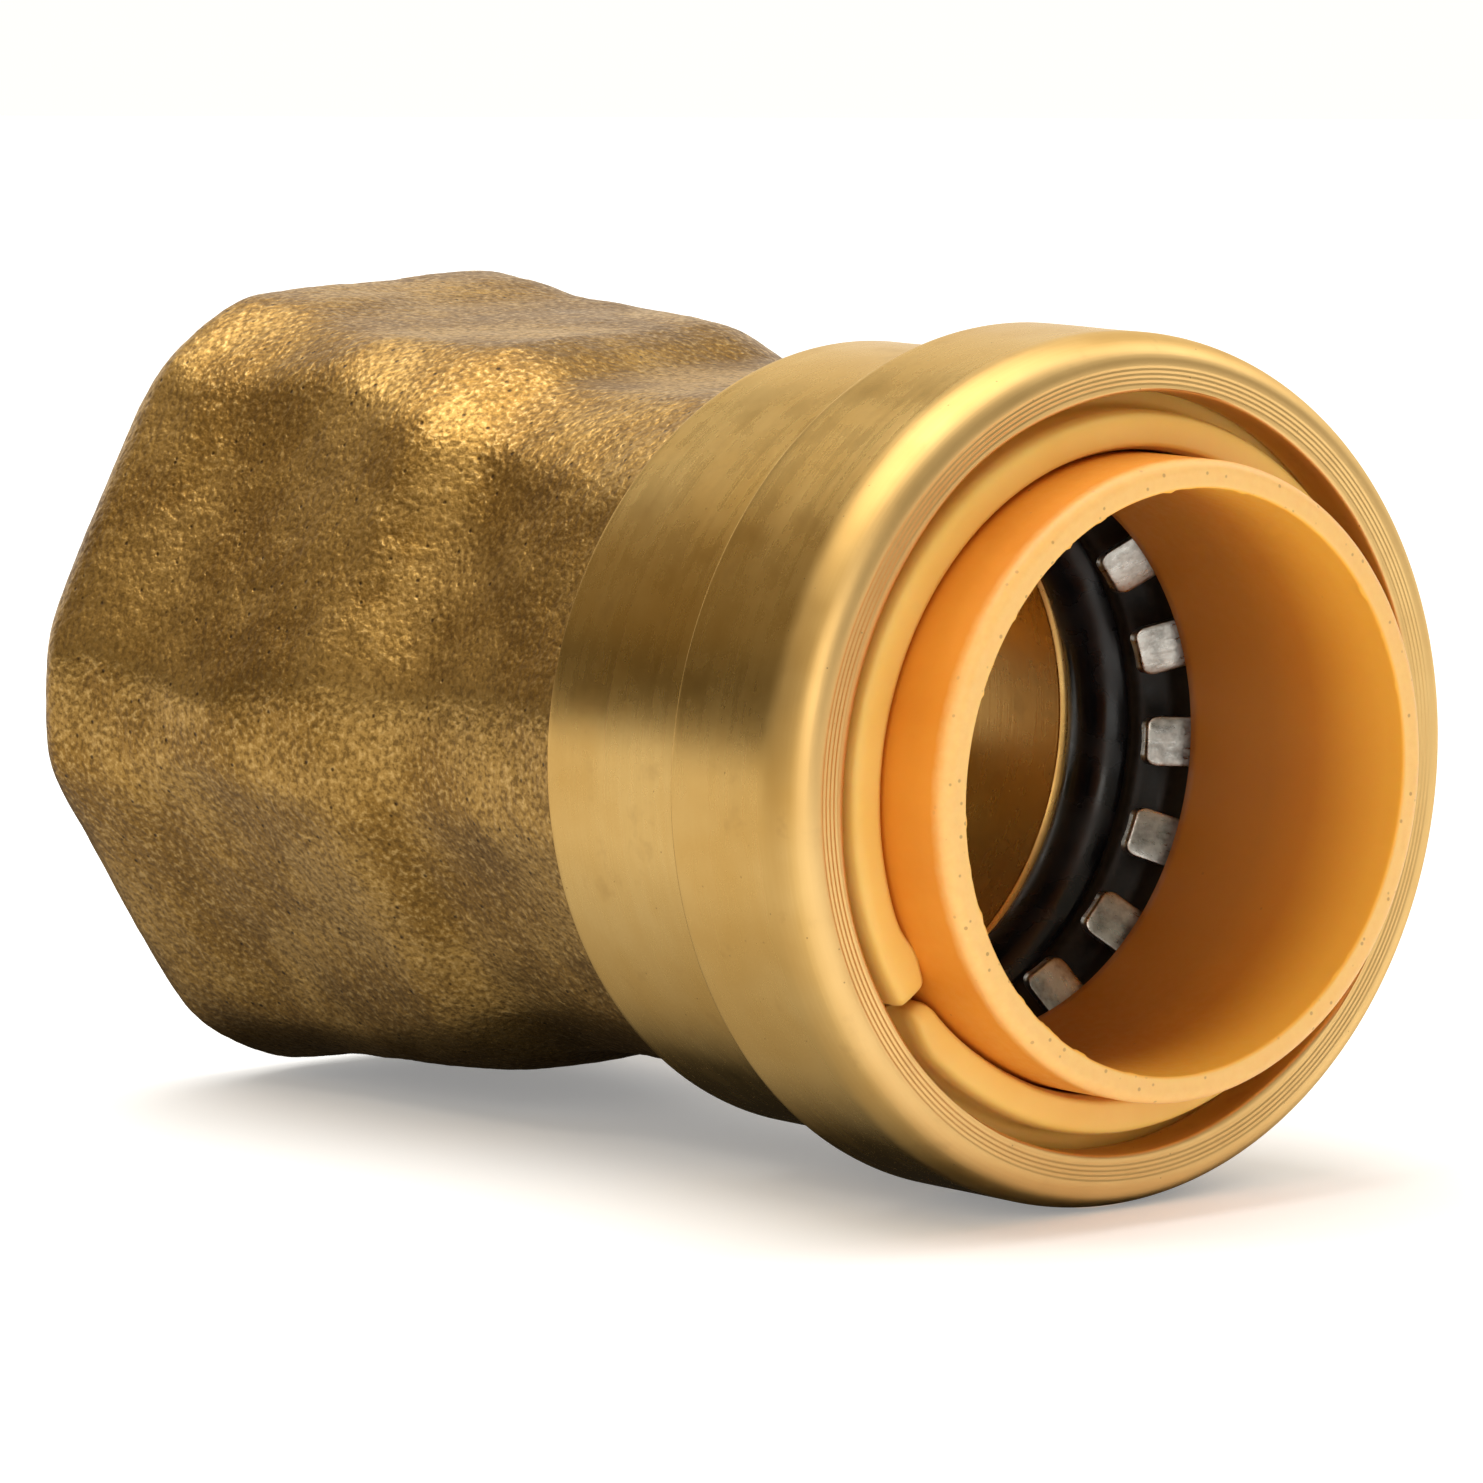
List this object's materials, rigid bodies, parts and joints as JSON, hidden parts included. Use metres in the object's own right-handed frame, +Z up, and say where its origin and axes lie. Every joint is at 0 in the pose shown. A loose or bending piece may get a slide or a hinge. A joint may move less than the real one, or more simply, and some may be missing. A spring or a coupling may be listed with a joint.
{
  "type": "push-fit coupling",
  "caption": "Straight brass push-fit coupling: a plastic release collar and toothed grip ring hold a pipe at one end, and a hexagonal end has a female pipe thread",
  "frame": {"origin": "centre of the threaded end's face, on the axis of the waterway", "axes": "+X runs along the waterway from the threaded end out through the push-fit mouth; +Z is up, square to a pair of the hexagon's flats; Y points at a corner of the hexagon on each side"},
  "size_m": [0.0525, 0.0342, 0.034],
  "materials": {
    "cast_brass": "rough cast hexagon and neck, satin turned barrel and lip",
    "pale_plastic": "satin moulded acetal, pale yellow",
    "orange_plastic": "satin moulded acetal, orange",
    "spring_steel": "bright stamped stainless steel",
    "black_plastic": "satin black moulding",
    "black_rubber": "lubricated black rubber"
  },
  "bodies": {
    "housing": {"fitting_body": "cast_brass", "retaining_ring": "pale_plastic", "seal_protector": "black_plastic", "o_ring": "black_rubber"},
    "grip": {"grab_ring": "spring_steel"},
    "collar": {"release_collar": "orange_plastic"}
  },
  "joints": [
    {"name": "grip_spin", "type": "hinge", "parent": "housing", "child": "grip", "pos_m": [0.0398, 0, 0], "axis": [1, 0, 0], "continuous": true},
    {"name": "collar_press", "type": "slide", "parent": "grip", "child": "collar", "axis": [1, 0, 0], "range_m": [-0.002, 0], "stiffness_N_per_m": 600, "springref_m": 0.001, "deforming": ["grab_ring"]}
  ]
}
